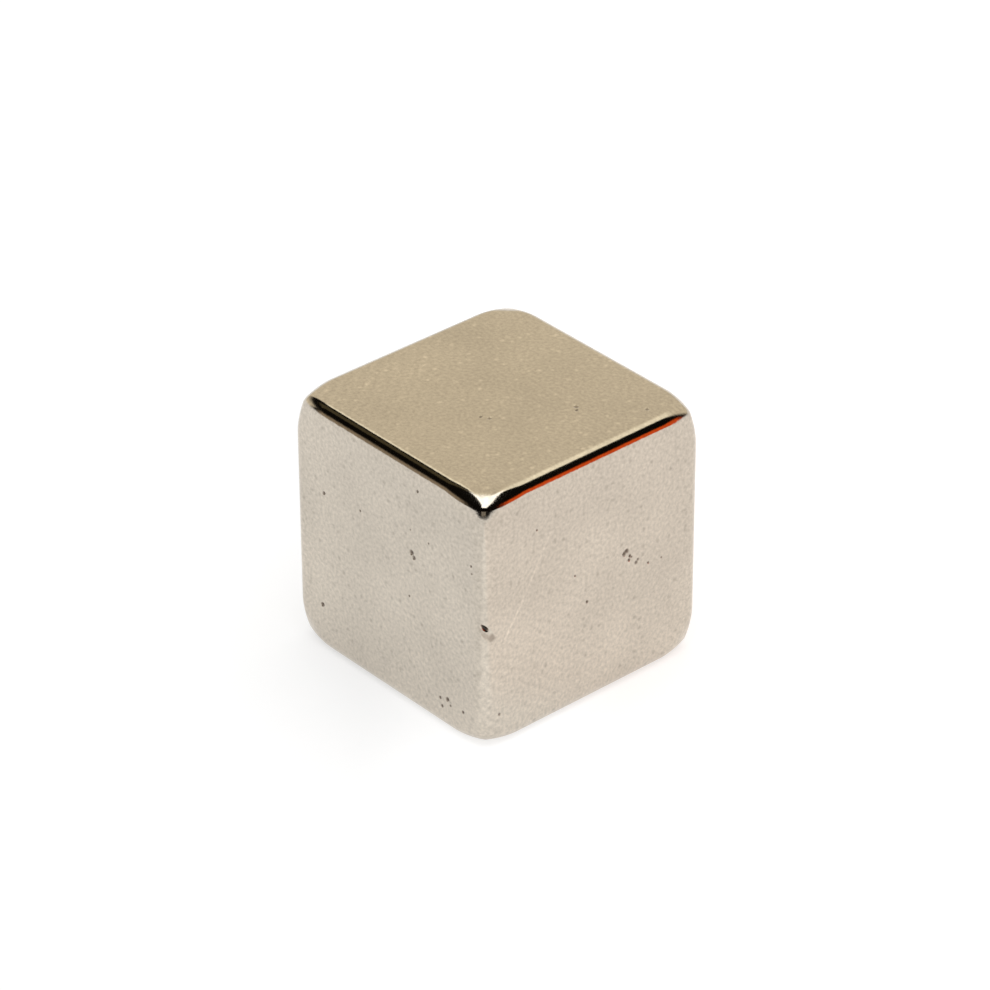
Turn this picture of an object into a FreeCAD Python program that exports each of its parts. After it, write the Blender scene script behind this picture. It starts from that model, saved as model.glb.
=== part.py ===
import FreeCAD, Part
import math
import os
from FreeCAD import Vector

# A sintered neodymium block magnet, nickel plated and tumbled: one solid.
# The origin is at the middle of its lower pole face, and Z runs from pole to pole.

# Driving dimensions, in millimetres
block_length = 10.0         # along X
block_width = 10.0          # along Y
block_height = 10.0         # along Z, pole face to pole face
edge_radius = 0.5           # tumbled rounding along every edge
corner_wear = 1.0           # how far along each edge tumbling knocks a corner off
corner_radius = 0.75        # rounding that blends a worn corner into the faces beside it

# Chip on the front upright edge: a shell-shaped scoop with a steeper bite near its upper end
chip_rise = 0.488           # the chip's middle, as a share of the block's height
scoop_radius = 0.62
scoop_depth = 0.11
bite_radius = 0.24
bite_depth = 0.13
bite_above_scoop = 0.19     # from the scoop's middle up to the bite's
bite_round_the_edge = 12.0  # degrees round the edge, towards the right-hand face

# Pits in the plating: place across the face and up it, as shares, then mouth radius and depth
front_pits = [
    (0.632, 0.644, 0.13, 0.045),
    (0.645, 0.629, 0.10, 0.035),
    (0.144, 0.191, 0.11, 0.035),
    (0.168, 0.663, 0.09, 0.030),
    (0.363, 0.683, 0.06, 0.020),
    (0.669, 0.905, 0.07, 0.025),
    (0.774, 0.122, 0.08, 0.025),
    (0.812, 0.133, 0.11, 0.035),
    (0.784, 0.092, 0.08, 0.025),
    (0.828, 0.115, 0.06, 0.020),
    (0.893, 0.122, 0.08, 0.025),
    (0.941, 0.738, 0.06, 0.020),
]
right_pits = [
    (0.643, 0.539, 0.12, 0.035),
    (0.654, 0.547, 0.12, 0.035),
    (0.669, 0.521, 0.08, 0.025),
    (0.665, 0.506, 0.08, 0.025),
    (0.699, 0.481, 0.10, 0.025),
    (0.707, 0.491, 0.08, 0.020),
    (0.755, 0.457, 0.06, 0.020),
    (0.472, 0.419, 0.08, 0.025),
    (0.072, 0.137, 0.08, 0.020),
]
top_pits = [
    (0.729, 0.662, 0.12, 0.025),
    (0.747, 0.647, 0.08, 0.020),
    (0.902, 0.831, 0.10, 0.020),
    (0.591, 0.390, 0.10, 0.020),
    (0.563, 0.374, 0.08, 0.020),
]

# The block's directions and its low corner
x, y, z = Vector(1, 0, 0), Vector(0, 1, 0), Vector(0, 0, 1)
low = Vector(-block_length / 2, -block_width / 2, 0)


# Tumbled block
def corner_tip(corner, inwards):
    """Wedge that wear takes off a corner, as far along each of its three edges."""
    ends = [corner + direction * corner_wear for direction in inwards]
    rings = [
        (corner, ends[0], ends[1]),
        (corner, ends[1], ends[2]),
        (corner, ends[2], ends[0]),
        (ends[0], ends[2], ends[1]),
    ]
    faces = [Part.Face(Part.makePolygon([a, b, c, a])) for a, b, c in rings]
    return Part.makeSolid(Part.makeShell(faces))


def worn_blank():
    """Ground block with its eight corners knocked off."""
    tips = []
    for along_x in (0, 1):
        for along_y in (0, 1):
            for along_z in (0, 1):
                size = Vector(along_x * block_length, along_y * block_width, along_z * block_height)
                inwards = [x * (1 - 2 * along_x), y * (1 - 2 * along_y), z * (1 - 2 * along_z)]
                tips.append(corner_tip(low + size, inwards))
    return Part.makeBox(block_length, block_width, block_height, low).cut(tips)


def tumbled_block():
    """Worn blank with its long edges and the short edges round its corners rounded over."""
    document = FreeCAD.newDocument()
    blank = document.addObject("Part::Feature", "blank")
    blank.Shape = worn_blank()
    tumbled = document.addObject("Part::Fillet", "tumbled")
    tumbled.Base = blank
    corner_edge_length = corner_wear * math.sqrt(2)
    roundings = []
    for number, edge in enumerate(blank.Shape.Edges, 1):
        at_corner = math.isclose(edge.Length, corner_edge_length, rel_tol=1e-6)
        radius = corner_radius if at_corner else edge_radius
        roundings.append((number, radius, radius))
    tumbled.Edges = roundings
    document.recompute()
    return tumbled.Shape


# Wear
def front_edge_scoop(radius, depth, height, turn):
    """Ball that bites to a depth into the front upright edge, at a height and a turn round it."""
    centre_x = block_length / 2 - edge_radius
    centre_y = -block_width / 2 + edge_radius
    angle = math.radians(turn - 45)
    reach = edge_radius - depth + radius
    place = Vector(centre_x + reach * math.cos(angle), centre_y + reach * math.sin(angle), height)
    return Part.makeSphere(radius, place)


def pit(mouth, outwards, mouth_radius, depth):
    """Ball that leaves a shallow round pit of this mouth and depth in a flat face."""
    radius = (mouth_radius ** 2 + depth ** 2) / (2 * depth)
    return Part.makeSphere(radius, mouth + outwards * (radius - depth))


chip_height = chip_rise * block_height
wear = [
    front_edge_scoop(scoop_radius, scoop_depth, chip_height, 0),
    front_edge_scoop(bite_radius, bite_depth, chip_height + bite_above_scoop, bite_round_the_edge),
]
pitted_faces = [
    (front_pits, low, x * block_length, z * block_height, -y),
    (right_pits, low + x * block_length, y * block_width, z * block_height, x),
    (top_pits, low + z * block_height, x * block_length, y * block_width, z),
]
for pits, corner, whole_across, whole_up, outwards in pitted_faces:
    for across, up, mouth_radius, depth in pits:
        mouth = corner + whole_across * across + whole_up * up
        wear.append(pit(mouth, outwards, mouth_radius, depth))

block_magnet = tumbled_block().cut(wear)

os.makedirs("parts", exist_ok=True)
block_magnet.exportStep("parts/block_magnet.step")
print("valid:", block_magnet.isValid(), "solids:", len(block_magnet.Solids),
      "volume mm3:", round(block_magnet.Volume, 3))
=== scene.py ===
import math

import bmesh
import bpy
import numpy as np
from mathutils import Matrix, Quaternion, Vector, noise


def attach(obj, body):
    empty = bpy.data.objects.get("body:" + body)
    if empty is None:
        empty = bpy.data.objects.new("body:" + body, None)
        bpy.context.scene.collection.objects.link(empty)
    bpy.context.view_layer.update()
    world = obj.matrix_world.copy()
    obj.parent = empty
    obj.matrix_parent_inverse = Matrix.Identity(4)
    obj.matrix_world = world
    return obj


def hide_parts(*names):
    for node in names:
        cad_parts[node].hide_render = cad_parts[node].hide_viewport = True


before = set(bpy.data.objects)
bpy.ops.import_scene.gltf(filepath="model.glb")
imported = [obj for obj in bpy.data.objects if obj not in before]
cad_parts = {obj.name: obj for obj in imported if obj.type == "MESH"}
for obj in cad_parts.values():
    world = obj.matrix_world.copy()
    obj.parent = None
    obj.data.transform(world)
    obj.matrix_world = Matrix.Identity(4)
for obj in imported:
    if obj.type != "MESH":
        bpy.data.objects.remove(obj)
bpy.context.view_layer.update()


# Block magnet
# A cube of sintered neodymium, ground flat on its six faces and then tumbled, which rounds
# its edges and wears its corners off. The plating follows the metal, with its chip and pits.
mm = 0.001
block_size = Vector((10.0, 10.0, 10.0)) * mm
edge_rounding = 0.5 * mm
corner_wear = 0.85 * mm        # how far along each edge a corner is knocked off
front_corner_wear = 1.1 * mm   # the same for the front upper corner
corner_softness = 0.65 * mm    # how widely the worn corner blends into its edges
chip_rise = 0.488              # the chip's middle up the front edge, as a share
pit_roughness = 0.5            # how uneven the pits' rims are, as a share of the mouth radius

# Pits and specks: place across the face and up it as shares, then mouth radius and depth in mm
pit_marks = {
    "front": [
        (0.632, 0.644, 0.13, 0.045), (0.645, 0.629, 0.10, 0.035), (0.144, 0.191, 0.11, 0.035),
        (0.168, 0.663, 0.09, 0.030), (0.363, 0.683, 0.06, 0.020), (0.669, 0.905, 0.07, 0.025),
        (0.774, 0.122, 0.08, 0.025), (0.812, 0.133, 0.11, 0.035), (0.784, 0.092, 0.08, 0.025),
        (0.828, 0.115, 0.06, 0.020), (0.893, 0.122, 0.08, 0.025), (0.941, 0.738, 0.06, 0.020),
        (0.723, 0.724, 0.05, 0.016), (0.618, 0.461, 0.06, 0.018), (0.944, 0.709, 0.05, 0.014),
        (0.629, 0.734, 0.05, 0.012),
    ],
    "right": [
        (0.643, 0.539, 0.12, 0.035), (0.654, 0.547, 0.12, 0.035), (0.669, 0.521, 0.08, 0.025),
        (0.665, 0.506, 0.08, 0.025), (0.699, 0.481, 0.10, 0.025), (0.707, 0.491, 0.08, 0.020),
        (0.755, 0.457, 0.06, 0.020), (0.472, 0.419, 0.08, 0.025), (0.072, 0.137, 0.08, 0.020),
        (0.242, 0.807, 0.05, 0.016), (0.415, 0.549, 0.05, 0.016), (0.817, 0.452, 0.05, 0.014),
        (0.676, 0.514, 0.06, 0.016),
    ],
    "top": [
        (0.729, 0.662, 0.12, 0.025), (0.747, 0.647, 0.08, 0.020), (0.902, 0.831, 0.10, 0.020),
        (0.591, 0.390, 0.10, 0.020), (0.563, 0.374, 0.08, 0.020),
    ],
}

half = block_size / 2
face_frames = {                # a corner of each face, then the directions across and up it
    "front": (Vector((-half.x, -half.y, -half.z)), Vector((1, 0, 0)), Vector((0, 0, 1))),
    "right": (Vector((half.x, -half.y, -half.z)), Vector((0, 1, 0)), Vector((0, 0, 1))),
    "top": (Vector((-half.x, -half.y, half.z)), Vector((1, 0, 0)), Vector((0, 1, 0))),
}
pits = []
for face, marks in pit_marks.items():
    corner, u_way, v_way = face_frames[face]
    for across, up, mouth, depth in marks:
        place = corner + u_way * (across * block_size.dot(u_way)) + v_way * (up * block_size.dot(v_way))
        pits.append((place, mouth * mm, depth * mm))
chip_place = Vector((half.x, -half.y, (chip_rise - 0.5) * block_size.z))

# The mesh: even over the roundings, fine beside them and wider towards the middle of a face
rounding_cuts = 10
narrow_gap, wide_gap, last_gap = 0.07 * mm, 0.3 * mm, 0.2 * mm
gap_growth = 1.15
fine_band = 1.5 * mm           # how far in from the rounding the gaps stay narrow

# It is finer still round the chip and in the pits
chip_zone_up, chip_zone_aside = 0.60 * mm, 0.45 * mm
chip_gap = 0.036 * mm
pit_zone, pit_cuts = 1.5, 3.2  # reach in mouth radii, and cuts to a mouth radius
edge_share = 0.8               # and further for a long edge, by this share of its length
most_halvings = 6


def cuts_along(half_length):
    """Places of the ground block's mesh lines along one axis, close together near its ends."""
    flat_end = half_length - edge_rounding
    rounding = [flat_end + edge_rounding * math.tan(math.radians(45.0 * cut / rounding_cuts))
                for cut in range(rounding_cuts + 1)]
    flat = []
    gap, place = narrow_gap, flat_end
    while place > last_gap:
        if flat_end - place > fine_band:
            gap = min(gap * gap_growth, wide_gap)
        place -= gap
        flat.append(place)
    flat[-1] = 0.0
    side = flat[::-1] + rounding
    return [-place for place in side[:0:-1]] + side


def ground_block():
    """Sharp block of quads, cut finer round the chip and the pits."""
    cuts = [cuts_along(half.x), cuts_along(half.y), cuts_along(half.z)]
    ends = [len(line) - 1 for line in cuts]
    mesh = bmesh.new()
    corners = {}

    def corner_at(index):
        if index not in corners:
            corners[index] = mesh.verts.new([cuts[axis][index[axis]] for axis in range(3)])
        return corners[index]

    for axis in range(3):
        u_axis, v_axis = (axis + 1) % 3, (axis + 2) % 3
        for end in (0, ends[axis]):
            for u in range(ends[u_axis]):
                for v in range(ends[v_axis]):
                    ring = []
                    for du, dv in ((0, 0), (1, 0), (1, 1), (0, 1)):
                        index = [0, 0, 0]
                        index[axis], index[u_axis], index[v_axis] = end, u + du, v + dv
                        ring.append(corner_at(tuple(index)))
                    mesh.faces.new(ring if end else ring[::-1])

    def too_long(edge):
        middle = (edge.verts[0].co + edge.verts[1].co) / 2
        length = edge.calc_length()
        along = abs(middle.z - chip_place.z)
        beside = max(abs(middle.x - chip_place.x), abs(middle.y - chip_place.y))
        if along < chip_zone_up + length and beside < chip_zone_aside + length:
            return length > chip_gap
        return any((middle - place).length < pit_zone * mouth + edge_share * length
                   and length > mouth / pit_cuts for place, mouth, depth in pits)

    for halving in range(most_halvings):
        long_edges = [edge for edge in mesh.edges if too_long(edge)]
        if not long_edges:
            break
        bmesh.ops.subdivide_edges(mesh, edges=long_edges, cuts=1, use_grid_fill=True)
    bmesh.ops.triangulate(mesh, faces=[face for face in mesh.faces if len(face.verts) > 4])
    data = bpy.data.meshes.new("block_magnet_body")
    mesh.to_mesh(data)
    mesh.free()
    return data


class Steps:
    """Adds steps to a node tree, each from sockets or plain values."""

    def __init__(self, tree):
        self.tree = tree

    def fill(self, socket, value):
        """Join a socket to the one given, or set its value."""
        if isinstance(value, bpy.types.NodeSocket):
            self.tree.links.new(value, socket)
        elif value is not None:
            socket.default_value = value

    def number(self, operation, first, second=None):
        step = self.tree.nodes.new("ShaderNodeMath")
        step.operation = operation
        self.fill(step.inputs[0], first)
        self.fill(step.inputs[1], second)
        return step.outputs[0]

    def vector(self, operation, first, second=None):
        step = self.tree.nodes.new("ShaderNodeVectorMath")
        step.operation = operation
        self.fill(step.inputs[0], first)
        self.fill(step.inputs["Scale" if operation == "SCALE" else 1], second)
        return step.outputs["Value" if operation in ("DOT_PRODUCT", "LENGTH", "DISTANCE") else "Vector"]

    def ramp(self, value, low, high):
        """0 up to low, 1 from high on, and a soft rise between them."""
        step = self.tree.nodes.new("ShaderNodeMapRange")
        step.interpolation_type = "SMOOTHSTEP"
        self.fill(step.inputs["Value"], value)
        self.fill(step.inputs["From Min"], low)
        self.fill(step.inputs["From Max"], high)
        return step.outputs[0]

    def blend(self, share, under, over):
        """One colour over another."""
        step = self.tree.nodes.new("ShaderNodeMix")
        step.data_type = "RGBA"
        self.fill(step.inputs["Factor"], share)
        self.fill(step.inputs["A"], under)
        self.fill(step.inputs["B"], over)
        return step.outputs["Result"]


# How a pit is shaped, and how much painted shade darkens it, in the tumbling's nodes
pit_fullness = 0.8             # below 1 a pit is flatter at its bottom and steeper at its rim
rim_waves = 9.0                # to the millimetre
steep_pit = 0.3                # depth over mouth radius of the darkest pits
steep_contrast = 1.5
darkest_pit_shade = 0.78


def tumbling_tree():
    """Nodes that lay a sharp block's mesh on its tumbled form, press the pits in and plate it."""
    tree = bpy.data.node_groups.new("Tumbling", "GeometryNodeTree")
    for name, kind in (("Geometry", "Geometry"), ("Block size", "Vector"), ("Edge rounding", "Float"),
                       ("Corner wear", "Float"), ("Front corner wear", "Float"),
                       ("Corner softness", "Float"), ("Pits", "Object"), ("Pit roughness", "Float"),
                       ("Plating", "Material")):
        tree.interface.new_socket(name, in_out="INPUT", socket_type="NodeSocket" + kind)
    tree.interface.new_socket("Geometry", in_out="OUTPUT", socket_type="NodeSocketGeometry")
    given = tree.nodes.new("NodeGroupInput").outputs
    result = tree.nodes.new("NodeGroupOutput").inputs
    steps = Steps(tree)
    fill, number, vector = steps.fill, steps.number, steps.vector

    def all_three(value):
        step = tree.nodes.new("ShaderNodeCombineXYZ")
        for socket in step.inputs:
            fill(socket, value)
        return step.outputs[0]

    rounding, wear, softness = given["Edge rounding"], given["Corner wear"], given["Corner softness"]
    half_size = vector("SCALE", given["Block size"], 0.5)
    position = tree.nodes.new("GeometryNodeInputPosition").outputs[0]

    # Each point lies on a ball that rolls inside the block, at the ball's centre line
    core = vector("SUBTRACT", half_size, all_three(rounding))
    centre = vector("MAXIMUM", vector("MINIMUM", position, core), vector("SCALE", core, -1.0))
    outwards = vector("NORMALIZE", vector("SUBTRACT", position, centre))

    # Wear is more at the front upper corner, where the signs of all three places agree
    front_corner = (1, -1, 1)
    agreeing = vector("DOT_PRODUCT", vector("SIGN", position), front_corner)
    more = number("SUBTRACT", given["Front corner wear"], wear)
    wear = number("ADD", wear, number("MULTIPLY", number("GREATER_THAN", agreeing, 2.5), more))

    # The worn corner is a fourth plane, blended with the three faces beside it
    root3 = math.sqrt(3)
    to_faces = vector("SUBTRACT", half_size, vector("ABSOLUTE", centre))
    to_wear = number("DIVIDE", number("SUBTRACT", vector("DOT_PRODUCT", to_faces, (1, 1, 1)), wear), root3)
    slope = number("DIVIDE", vector("DOT_PRODUCT", vector("ABSOLUTE", outwards), (1, 1, 1)), root3)
    weight = number("POWER", number("DIVIDE", rounding, softness), 2.0)
    start = number("SUBTRACT", softness, to_wear)
    pull = number("MULTIPLY", weight, start)
    bend = number("MULTIPLY", pull, slope)
    share = number("ADD", number("MULTIPLY", weight, number("POWER", slope, 2.0)), 1.0)
    room = number("SUBTRACT", number("MULTIPLY", pull, start), number("POWER", rounding, 2.0))
    inside = number("SUBTRACT", number("MULTIPLY", bend, bend), number("MULTIPLY", share, room))
    root = number("SQRT", number("MAXIMUM", inside, 0.0))
    worn_reach = number("DIVIDE", number("SUBTRACT", root, bend), share)
    touched = number("ADD", start, number("MULTIPLY", slope, worn_reach))
    near_corner = number("GREATER_THAN", touched, 0.0)
    change = number("MULTIPLY", near_corner, number("SUBTRACT", worn_reach, rounding))
    reach = number("ADD", rounding, change)
    tumbled_place = vector("ADD", centre, vector("SCALE", outwards, reach))
    tumbled = tree.nodes.new("GeometryNodeSetPosition")
    fill(tumbled.inputs["Geometry"], given["Geometry"])
    fill(tumbled.inputs["Position"], tumbled_place)

    # Pits: the nearest one's mouth and depth, with an uneven rim
    marks = tree.nodes.new("GeometryNodeObjectInfo")
    fill(marks.inputs["Object"], given["Pits"])
    nearest = tree.nodes.new("GeometryNodeSampleNearest")
    nearest.domain = "POINT"
    fill(nearest.inputs["Geometry"], marks.outputs["Geometry"])

    def of_pit(kind, source):
        sample = tree.nodes.new("GeometryNodeSampleIndex")
        sample.data_type = kind
        sample.domain = "POINT"
        fill(sample.inputs["Geometry"], marks.outputs["Geometry"])
        fill(sample.inputs["Value"], source)
        fill(sample.inputs["Index"], nearest.outputs["Index"])
        return sample.outputs["Value"]

    def stored(name):
        step = tree.nodes.new("GeometryNodeInputNamedAttribute")
        step.data_type = "FLOAT"
        step.inputs["Name"].default_value = name
        return step.outputs["Attribute"]

    mouth, depth = of_pit("FLOAT", stored("mouth")), of_pit("FLOAT", stored("depth"))
    away = vector("SUBTRACT", position, of_pit("FLOAT_VECTOR", position))
    uneven = tree.nodes.new("ShaderNodeTexNoise")
    fill(uneven.inputs["Vector"], vector("SCALE", position, 1 / mm))
    uneven.inputs["Scale"].default_value = rim_waves
    uneven.inputs["Detail"].default_value = 2.0
    swing = number("MULTIPLY", number("SUBTRACT", uneven.outputs[0], 0.5), given["Pit roughness"])
    distance = number("ADD", number("DIVIDE", vector("LENGTH", away), mouth), swing)
    bowl = number("MAXIMUM", number("SUBTRACT", 1.0, number("POWER", distance, 2.0)), 0.0)
    hollow = number("MULTIPLY", number("POWER", bowl, pit_fullness), depth)
    pitted = tree.nodes.new("GeometryNodeSetPosition")
    fill(pitted.inputs["Geometry"], tumbled.outputs[0])
    normal = tree.nodes.new("GeometryNodeInputNormal").outputs[0]
    fill(pitted.inputs["Offset"], vector("SCALE", normal, number("MULTIPLY", hollow, -1.0)))

    # Painted shade for the plating, kept under the name wear: darker the deeper and the steeper the pit is
    steepness = number("MINIMUM", number("DIVIDE", depth, number("MULTIPLY", mouth, steep_pit)), 1.0)
    pit_shading = number("MULTIPLY", number("POWER", steepness, steep_contrast), darkest_pit_shade)
    painted_shade_kept = tree.nodes.new("GeometryNodeStoreNamedAttribute")
    painted_shade_kept.data_type = "FLOAT"
    painted_shade_kept.domain = "POINT"
    painted_shade_kept.inputs["Name"].default_value = "wear"
    fill(painted_shade_kept.inputs["Geometry"], pitted.outputs[0])
    fill(painted_shade_kept.inputs["Value"], number("MULTIPLY", bowl, pit_shading))

    # Stand it on its lower pole face
    stand = tree.nodes.new("GeometryNodeTransform")
    fill(stand.inputs["Geometry"], painted_shade_kept.outputs[0])
    fill(stand.inputs["Translation"], vector("MULTIPLY", half_size, (0, 0, 1)))
    smooth = tree.nodes.new("GeometryNodeSetShadeSmooth")
    fill(smooth.inputs["Geometry"], stand.outputs[0])
    real = tree.nodes.new("GeometryNodeRealizeInstances")
    fill(real.inputs[0], smooth.outputs[0])
    plated = tree.nodes.new("GeometryNodeSetMaterial")
    fill(plated.inputs["Geometry"], real.outputs[0])
    fill(plated.inputs["Material"], given["Plating"])
    fill(result["Geometry"], plated.outputs[0])
    return tree


# The nickel plating: warm grey, satin bright, with the grinding showing faintly through it
nickel_colour = (0.56, 0.505, 0.43)
# painted shade in the pits and the chip, and at its darkest the bared core in the chip's bite
painted_shade_colour = (0.10, 0.07, 0.05, 1.0)
core_and_shade_colour = (0.015, 0.012, 0.010, 1.0)
satin, pit_dullness = (0.08, 0.13), 0.25  # roughness, and how much more of it wear brings
relief_strength, relief_height = 0.12, 0.02 * mm

# What changes its tone: how many to the metre, and how pale or dark they make the metal
cloud_scale, cloud_tones = 420.0, (0.955, 1.045)
grain_scale, grain_tones = 7600.0, (0.86, 1.14)
arc_scale, arc_tones, arc_relief = 1160.0, (0.99, 1.05), 0.25
arc_offset = (21 * mm, 17 * mm, 19 * mm)  # their middle lies outside the magnet, low on the left
arc_patch_scale, arc_patches = 190.0, (0.42, 0.68)
speck_scale, speck_rim = 3000.0, (0.08, 0.34)
speck_rarity, rarity_drop = 0.68, 0.12  # the drop is for the right-hand face and the top
side_speck, top_speck = -0.17, 0.22
skin = 0.05 * mm                        # how thick a layer counts as the face itself

# A bent scratch on the right-hand face: its places in mm, then its width
scratch = [(5, -1.97, 7.72), (5, -3.22, 5.53), (5, -4.10, 4.20)]
scratch_width, scratch_tones = (0.02 * mm, 0.07 * mm), (1.10, 1.0)

# How far the pits and the chip are darkened by their wear, which holds painted shade, and in the chip's
# bite the bared core too
shade_wear, shade_strength = (0.06, 0.62), (0.0, 0.92)
core_and_shade_wear = (0.75, 1.0)


def nickel_plating():
    material = bpy.data.materials.new("nickel_plating")
    material.use_nodes = True
    nodes, links = material.node_tree.nodes, material.node_tree.links
    shader = nodes["Principled BSDF"]
    shader.inputs["Metallic"].default_value = 1.0
    place = nodes.new("ShaderNodeTexCoord").outputs["Object"]
    steps = Steps(material.node_tree)
    number, vector, blend = steps.number, steps.vector, steps.blend
    noise_span, whole_span = (0.3, 0.7), (0.0, 1.0)

    def noise_at(scale, detail, roughness=0.5):
        step = nodes.new("ShaderNodeTexNoise")
        links.new(place, step.inputs["Vector"])
        step.inputs["Scale"].default_value = scale
        step.inputs["Detail"].default_value = detail
        step.inputs["Roughness"].default_value = roughness
        return step.outputs["Fac"]

    def spread(source, span, to_span):
        """One span of values laid over another, without going past its ends."""
        step = nodes.new("ShaderNodeMapRange")
        links.new(source, step.inputs["Value"])
        names = ("From Min", "From Max", "To Min", "To Max")
        for name, value in zip(names, span + to_span):
            step.inputs[name].default_value = value
        return step.outputs[0]

    # Tone: cloudy by a few hundredths, with a fine grain
    grain = noise_at(grain_scale, detail=3.0, roughness=0.6)
    tone = number("MULTIPLY", spread(noise_at(cloud_scale, detail=4.0), noise_span, cloud_tones),
                  spread(grain, noise_span, grain_tones))

    # the grinder's arcs, which come and go
    rings = nodes.new("ShaderNodeTexWave")
    rings.wave_type = "RINGS"
    rings.rings_direction = "SPHERICAL"
    centred = nodes.new("ShaderNodeMapping")
    links.new(place, centred.inputs["Vector"])
    centred.inputs["Location"].default_value = arc_offset
    links.new(centred.outputs[0], rings.inputs["Vector"])
    rings.inputs["Scale"].default_value = arc_scale
    rings.inputs["Distortion"].default_value = 1.0
    rings.inputs["Detail"].default_value = 2.0
    rings.inputs["Detail Scale"].default_value = 0.6
    shown = spread(noise_at(arc_patch_scale, detail=2.0), arc_patches, whole_span)
    arcs = number("MULTIPLY", rings.outputs["Fac"], shown)
    tone = number("MULTIPLY", tone, spread(arcs, whole_span, arc_tones))

    # dark specks on the side faces, more of them on the right-hand one, and pale ones on top
    cells = nodes.new("ShaderNodeTexVoronoi")
    links.new(place, cells.inputs["Vector"])
    cells.inputs["Scale"].default_value = speck_scale
    apart = nodes.new("ShaderNodeSeparateXYZ")
    links.new(place, apart.inputs[0])
    on_right = number("GREATER_THAN", apart.outputs["X"], half.x - skin)
    on_top = number("GREATER_THAN", apart.outputs["Z"], block_size.z - skin)
    drop = number("MULTIPLY", number("MAXIMUM", on_right, on_top), rarity_drop)
    picked = number("GREATER_THAN", cells.outputs["Color"], number("SUBTRACT", speck_rarity, drop))
    speck = number("MULTIPLY", spread(cells.outputs["Distance"], speck_rim, (1.0, 0.0)), picked)
    change = number("MULTIPLY", speck, spread(on_top, whole_span, (side_speck, top_speck)))
    tone = number("MULTIPLY", tone, number("ADD", 1.0, change))

    # the scratch, paler than the metal round it
    for start, end in zip(scratch, scratch[1:]):
        start, end = Vector(start) * mm, Vector(end) * mm
        along = end - start
        share = number("DIVIDE", vector("DOT_PRODUCT", vector("SUBTRACT", place, start), along),
                       along.length_squared)
        share = number("MINIMUM", number("MAXIMUM", share, 0.0), 1.0)
        nearest = vector("ADD", vector("SCALE", along, share), start)
        distance = vector("DISTANCE", place, nearest)
        tone = number("MULTIPLY", tone, spread(distance, scratch_width, scratch_tones))

    # Colour: that tone of nickel, darkened in the pits and the chip by painted shade, with the bared dark
    # core deep in the chip's bite
    wear = nodes.new("ShaderNodeAttribute")
    wear.attribute_name = "wear"
    depths = blend(spread(wear.outputs["Fac"], core_and_shade_wear, whole_span), painted_shade_colour, core_and_shade_colour)
    painted_shade = spread(wear.outputs["Fac"], shade_wear, shade_strength)
    colour = blend(painted_shade, vector("SCALE", nickel_colour, tone), depths)
    links.new(colour, shader.inputs["Base Color"])

    # Satin: a little uneven, and dull in the pits
    sheen = spread(noise_at(cloud_scale, detail=3.0), noise_span, satin)
    dullness = number("MULTIPLY", wear.outputs["Fac"], pit_dullness)
    links.new(number("ADD", sheen, dullness), shader.inputs["Roughness"])

    # Relief: the arcs and the grain
    bump = nodes.new("ShaderNodeBump")
    bump.inputs["Strength"].default_value = relief_strength
    bump.inputs["Distance"].default_value = relief_height
    links.new(number("ADD", number("MULTIPLY", arcs, arc_relief), grain), bump.inputs["Height"])
    links.new(bump.outputs[0], shader.inputs["Normal"])
    return material


pit_points = bpy.data.meshes.new("pit_points")
pit_points.from_pydata([place for place, mouth, depth in pits], [], [])
for name, column in (("mouth", 1), ("depth", 2)):
    attribute = pit_points.attributes.new(name, "FLOAT", "POINT")
    attribute.data.foreach_set("value", [pit[column] for pit in pits])
pit_object = bpy.data.objects.new("pit_points", pit_points)
bpy.context.scene.collection.objects.link(pit_object)

magnet = bpy.data.objects.new("plated_block", ground_block())
bpy.context.scene.collection.objects.link(magnet)
tumbling = magnet.modifiers.new("Tumbling", "NODES")
tumbling.node_group = tumbling_tree()
settings = {
    "Block size": tuple(block_size),
    "Edge rounding": edge_rounding,
    "Corner wear": corner_wear,
    "Front corner wear": front_corner_wear,
    "Corner softness": corner_softness,
    "Pits": pit_object,
    "Pit roughness": pit_roughness,
    "Plating": nickel_plating(),
}
for socket in tumbling.node_group.interface.items_tree:
    if socket.in_out == "INPUT" and socket.name in settings:
        tumbling[socket.identifier] = settings[socket.name]
bpy.context.view_layer.update()
plain = bpy.data.meshes.new_from_object(magnet.evaluated_get(bpy.context.evaluated_depsgraph_get()))
magnet.modifiers.clear()
magnet.data = plain
bpy.data.objects.remove(pit_object)

# The chip in mm: a shallow shell that leans across the front upright edge, and a steeper bite
# near its top, each with its place and its size across the chip and along it
chip_right_of_edge = 0.06
lean_right, lean_up = 0.74, 0.67        # the way across the chip
shell_across, shell_along = 0.0, -0.07
shell_half_width, shell_half_length, shell_depth = 0.20, 0.56, 0.045
bite_across, bite_along = 0.09, 0.12
bite_half_width, bite_half_length, bite_depth = 0.095, 0.20, 0.07
bite_fullness = 0.6                     # below 1 it is flatter at its bottom and steeper at its rim
chip_reach_up, chip_reach_aside, chip_reach_in = 0.9, 0.7, 0.3
ragged_waves, ragged_swing, ragged_slice = 6.0, 0.14, 3.1

# Painted shade in it, kept as wear: on the slope away from the bite, at the lower end, and in the bite,
# where it stands for the bared dark core as well
slope_shade, slope_end, beyond_slope = 0.24, -0.02, 0.35
tail_shade, tail_start, tail_fade = 0.36, 0.14, 0.18
bite_core_and_shade, shade_rise = 2.6, 3


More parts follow.
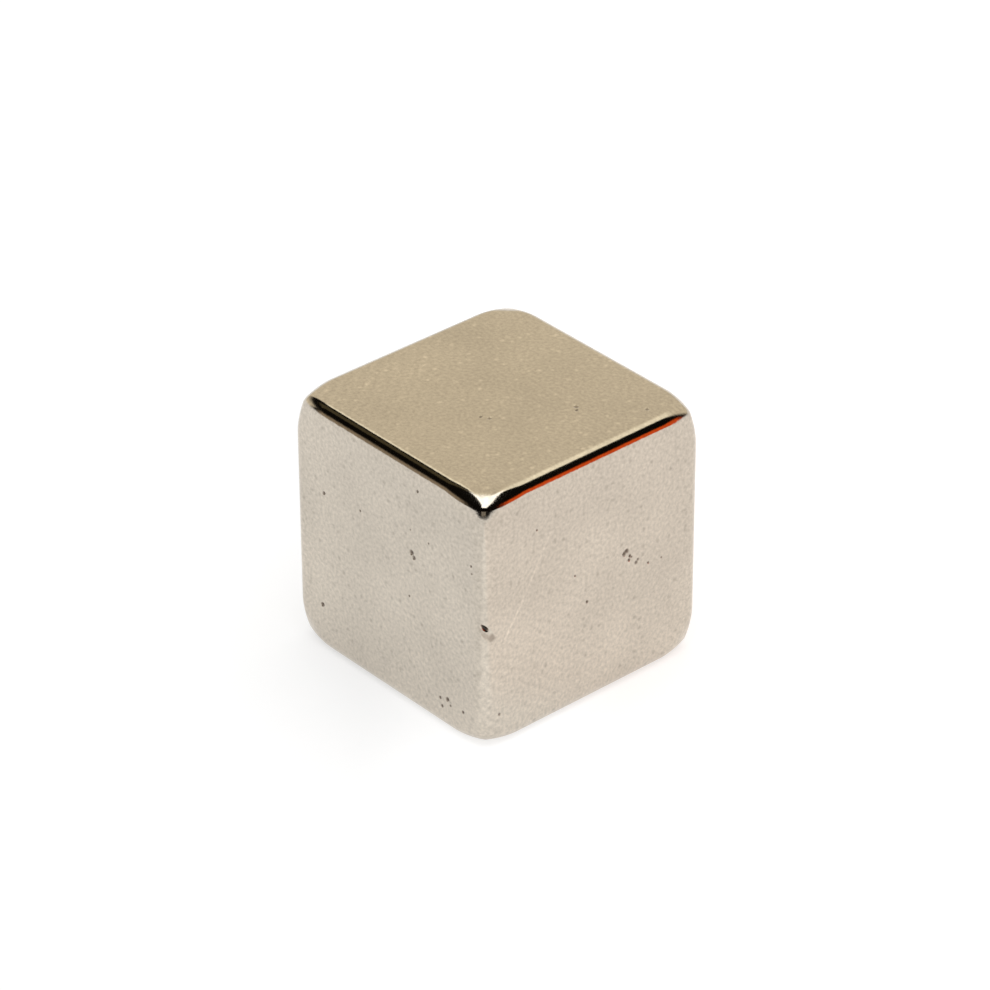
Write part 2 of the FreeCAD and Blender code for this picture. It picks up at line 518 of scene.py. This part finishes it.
def cut_chip(mesh):
    """Press the chip into the finished mesh, and keep its painted shade, with the bite's bared core, as
    wear for the plating.
    """
    points = np.empty(len(mesh.vertices) * 3)
    mesh.vertices.foreach_get("co", points)
    points = points.reshape(-1, 3)
    normals = np.empty(len(mesh.vertices) * 3)
    mesh.vertex_normals.foreach_get("vector", normals)
    normals = normals.reshape(-1, 3)
    wear = np.empty(len(mesh.vertices))
    mesh.attributes["wear"].data.foreach_get("value", wear)
    axis_x, axis_y = half.x - edge_rounding, -half.y + edge_rounding
    turn = np.arctan2(points[:, 1] - axis_y, points[:, 0] - axis_x) + math.pi / 4
    round_edge = turn * edge_rounding / mm
    up = (points[:, 2] - chip_rise * block_size.z) / mm
    close = ((np.abs(up) < chip_reach_up) & (np.abs(round_edge) < chip_reach_aside)
             & (points[:, 0] > axis_x - chip_reach_in * mm)
             & (points[:, 1] < axis_y + chip_reach_in * mm))
    for index in np.flatnonzero(close):
        u, v = round_edge[index] - chip_right_of_edge, up[index]
        ragged = noise.noise(Vector((u * ragged_waves, v * ragged_waves, ragged_slice))) * ragged_swing
        across, along = lean_right * u + lean_up * v, lean_right * v - lean_up * u
        shell = ragged + math.hypot((across - shell_across) / shell_half_width,
                                    (along - shell_along) / shell_half_length)
        bite = ragged + math.hypot((across - bite_across) / bite_half_width,
                                   (along - bite_along) / bite_half_length)
        depth = 0.0
        if shell < 1:
            depth = shell_depth * (1 - shell ** 2)
        if bite < 1:
            depth += bite_depth * (1 - bite ** 2) ** bite_fullness
        points[index] -= normals[index] * depth * mm
        # painted shade in the chip, darkest in the bite, which also has the bared core
        inside = min(1.0, max(0.0, 1 - shell) * shade_rise)
        slope = slope_shade * inside * (1.0 if across < slope_end else beyond_slope)
        tail = tail_shade * inside * max(0.0, min(1.0, (-along - tail_start) / tail_fade))
        bitten = min(1.0, max(0.0, 1 - bite) * bite_core_and_shade)
        wear[index] = max(wear[index], slope, tail, bitten)
    mesh.vertices.foreach_set("co", points.ravel())
    mesh.attributes["wear"].data.foreach_set("value", wear)
    mesh.update()


cut_chip(magnet.data)
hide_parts("block_magnet")
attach(magnet, "root")


# Floor
# A smooth white sheet that the magnet stands on. It shows white to the lens and in the
# metal, and keeps the shadow that the magnet casts on it.
floor_reach = 4.0
matt_share, glow_share = 0.50, 0.67
room_turn = math.radians(48.86)         # how far the room is turned from the magnet's own axes
room_right = (math.cos(room_turn), math.sin(room_turn), 0.0)
room_back = (-math.sin(room_turn), math.cos(room_turn), 0.0)

# Its tint, painted light and shade that show mostly in the metal: a breath darker away to the left, as a
# painted shadow, and a breath warmer to the right, as painted light near the magnet that turns darker
# further out. Where each starts and is whole, as places to the right of the magnet's middle
middle_tint = (1.05, 1.05, 1.05, 1.0)
painted_side_light_and_shade = [
    (-0.5 * mm, -5.0 * mm, (0.90, 0.90, 0.90, 1.0)),
    (1.0 * mm, 5.0 * mm, (1.03, 0.995, 0.975, 1.0)),
    (6.0 * mm, 10.0 * mm, (0.970, 0.938, 0.920, 1.0)),
]


def white_sheet():
    material = bpy.data.materials.new("white_sheet")
    material.use_nodes = True
    nodes, links = material.node_tree.nodes, material.node_tree.links
    nodes.clear()
    steps = Steps(material.node_tree)

    place = nodes.new("ShaderNodeTexCoord").outputs["Object"]
    aside = steps.vector("DOT_PRODUCT", place, room_right)
    # the painted shadow to the left and the painted warm light to the right, laid over the sheet's plain
    # tint
    tint = middle_tint
    for starts, whole, shade in painted_side_light_and_shade:
        tint = steps.blend(steps.ramp(aside, starts, whole), tint, shade)
    sheet = nodes.new("ShaderNodeBsdfDiffuse")
    links.new(steps.vector("SCALE", tint, matt_share), sheet.inputs["Color"])

    # it glows to the lens and to the metal, but lights nothing matt
    seen = nodes.new("ShaderNodeLightPath").outputs
    direct = steps.number("MAXIMUM", seen["Is Camera Ray"], seen["Is Glossy Ray"])
    direct = steps.number("MAXIMUM", direct, seen["Is Transmission Ray"])
    glow = nodes.new("ShaderNodeEmission")
    links.new(tint, glow.inputs["Color"])
    links.new(steps.number("MULTIPLY", direct, glow_share), glow.inputs["Strength"])
    both = nodes.new("ShaderNodeAddShader")
    links.new(sheet.outputs[0], both.inputs[0])
    links.new(glow.outputs[0], both.inputs[1])
    output = nodes.new("ShaderNodeOutputMaterial")
    links.new(both.outputs[0], output.inputs["Surface"])
    return material


floor_mesh = bpy.data.meshes.new("floor")
floor_corners = [(x * floor_reach, y * floor_reach, 0) for x, y in ((-1, -1), (1, -1), (1, 1), (-1, 1))]
floor_mesh.from_pydata(floor_corners, [], [(0, 1, 2, 3)])
floor = bpy.data.objects.new("floor", floor_mesh)
bpy.context.scene.collection.objects.link(floor)
floor.data.materials.append(white_sheet())


# Surroundings
# A plain studio: white to the horizon, a warm wall, dark cloth at both sides to draw the
# metal's edges, and a broad soft light overhead. Matt things get one even light from it.
wall = (0.866, 0.778, 0.612, 1.0)
cream = (1.35, 1.27, 1.03, 1.0)
timber = (0.92, 0.11, 0.015, 1.0)
card = (0.34, 0.27, 0.19, 1.0)
tan = (0.08, 0.065, 0.035, 1.0)
grey = (0.34, 0.30, 0.25, 1.0)
dark = (0.005, 0.004, 0.003, 1.0)
white = (1.0, 1.0, 1.0, 1.0)
panel_light = (2.3, 2.3, 2.25, 1.0)
matt_room = (0.35, 0.35, 0.35, 1.0)
matt_light = (2.35, 2.35, 2.35, 1.0)


def studio():
    world = bpy.data.worlds.new("studio")
    world.use_nodes = True
    nodes, links = world.node_tree.nodes, world.node_tree.links
    nodes.clear()
    steps = Steps(world.node_tree)
    number, ramp, blend = steps.number, steps.ramp, steps.blend

    def either(*shares):
        share = shares[0]
        for other in shares[1:]:
            share = number("MAXIMUM", share, other)
        return share

    def both(first, second):
        return number("MULTIPLY", first, second)

    def band(value, comes=None, whole=None, fades=None, gone=None):
        """Soft band: it comes in and is whole, then fades and is gone, or has only one end."""
        if comes is None:
            return number("SUBTRACT", 1.0, ramp(value, fades, gone))
        share = ramp(value, comes, whole)
        if fades is None:
            return share
        return both(share, number("SUBTRACT", 1.0, ramp(value, fades, gone)))

    # Where each ray goes: away from the lens, to the right and up, then in degrees of turn
    # from straight behind the magnet and of rise from the floor
    way = nodes.new("ShaderNodeTexCoord").outputs["Generated"]
    away = steps.vector("DOT_PRODUCT", way, room_back)
    aside = steps.vector("DOT_PRODUCT", way, room_right)
    upwards = steps.vector("DOT_PRODUCT", way, (0.0, 0.0, 1.0))
    rise = number("DEGREES", number("ARCSINE", upwards))
    turn = number("DEGREES", number("ARCTAN2", aside, away))
    turn_left = number("MULTIPLY", turn, -1.0)
    turn_either = number("ABSOLUTE", turn)

    # and where it meets a ceiling, in shares of the ceiling's height
    nearly_level = 0.001
    above = number("MAXIMUM", upwards, nearly_level)
    sideways = number("ABSOLUTE", number("DIVIDE", aside, above))
    forwards = number("DIVIDE", away, above)

    # the wall, paler up on the right behind the magnet, and higher up on the left
    pale_right = both(band(turn, comes=4, whole=34, fades=90, gone=110), band(rise, comes=34, whole=50))
    picture = blend(pale_right, wall, cream)
    pale_left = both(band(turn_left, comes=7, whole=15), band(rise, comes=40, whole=46))
    picture = blend(pale_left, picture, cream)

    # dark cloth at both sides, round the front and overhead on the lens's side
    overhead = both(band(rise, comes=50, whole=56), band(forwards, fades=-0.45, gone=-0.2))
    left_side = both(band(turn_left, comes=26, whole=30), band(rise, comes=12, whole=24))
    further_round = band(turn_either, comes=58, whole=70)
    picture = blend(either(further_round, left_side, overhead), picture, dark)

    # a tan strip in the cloth up on the left, and a grey gap in it straight in front
    strip = both(band(turn_left, comes=40, whole=44, fades=62, gone=66), band(rise, comes=30, whole=38))
    picture = blend(strip, picture, tan)
    in_front = either(band(turn_left, comes=157, whole=163), band(turn, comes=167, whole=173))
    gap = both(in_front, band(rise, comes=6, whole=8.5, fades=11.5, gone=14))
    picture = blend(gap, picture, grey)

    # timber low down on the right, a brown card low down on the left
    on_right = band(turn, comes=70, whole=85, fades=122, gone=138)
    picture = blend(both(on_right, band(rise, fades=19, gone=27)), picture, timber)
    on_left = band(turn_left, comes=70, whole=85, fades=108, gone=124)
    picture = blend(both(on_left, band(rise, fades=16, gone=26)), picture, card)

    # one long soft light overhead, from the wall to the front, where it widens
    taper = number("MULTIPLY", band(forwards, comes=-0.9, whole=0.1), 0.26)
    across_panel = band(number("ADD", sideways, taper), fades=0.44, gone=0.52)
    along_panel = band(forwards, comes=-1.20, whole=-1.10, fades=0.12, gone=0.30)
    picture = blend(both(across_panel, along_panel), picture, panel_light)

    # white at the horizon and below it, and less high on the lens's side
    nearer = band(turn_either, comes=80, whole=95)
    white_top = number("SUBTRACT", 4.0, number("MULTIPLY", nearer, 1.5))
    white_gone = number("SUBTRACT", 12.0, number("MULTIPLY", nearer, 7.0))
    picture = blend(ramp(rise, white_top, white_gone), white, picture)

    # matt things see a plain pale room and a soft light straight above
    even = blend(ramp(upwards, 0.80, 0.90), matt_room, matt_light)
    seen = nodes.new("ShaderNodeLightPath").outputs
    background = nodes.new("ShaderNodeBackground")
    links.new(blend(seen["Is Diffuse Ray"], picture, even), background.inputs["Color"])
    output = nodes.new("ShaderNodeOutputWorld")
    links.new(background.outputs[0], output.inputs["Surface"])
    return world


bpy.context.scene.world = studio()


# Camera
# A close-up lens that looks down on the magnet's upright front edge from 16 sides away.
azimuth, elevation = room_turn, math.radians(32.52)
lens_distance = 161.3 * mm
lens_length, film_width = 168.7, 36.0
picture_width = 990
magnet_right_of_middle, magnet_below_middle = 1.6, 25.0  # in pixels
lens_roll = math.radians(-0.25)

magnet_middle = Vector((0.0, 0.0, half.z))
back = Vector((math.sin(azimuth) * math.cos(elevation), -math.cos(azimuth) * math.cos(elevation),
               math.sin(elevation)))
right_hand = back.cross(Vector((0, 0, -1))).normalized()
upwards = back.cross(right_hand)
pixels = lens_length / film_width * picture_width
looking = -back * pixels - right_hand * magnet_right_of_middle + upwards * magnet_below_middle
camera_data = bpy.data.cameras.new("camera")
camera_data.lens = lens_length
camera_data.sensor_width = film_width
camera_data.clip_start = 1 * mm
camera = bpy.data.objects.new("camera", camera_data)
camera.location = magnet_middle + back * lens_distance
aim = looking.to_track_quat("-Z", "Y") @ Quaternion((0, 0, 1), lens_roll)
camera.rotation_euler = aim.to_euler()
bpy.context.scene.collection.objects.link(camera)
bpy.context.scene.camera = camera
bpy.context.scene.view_settings.view_transform = "Standard"
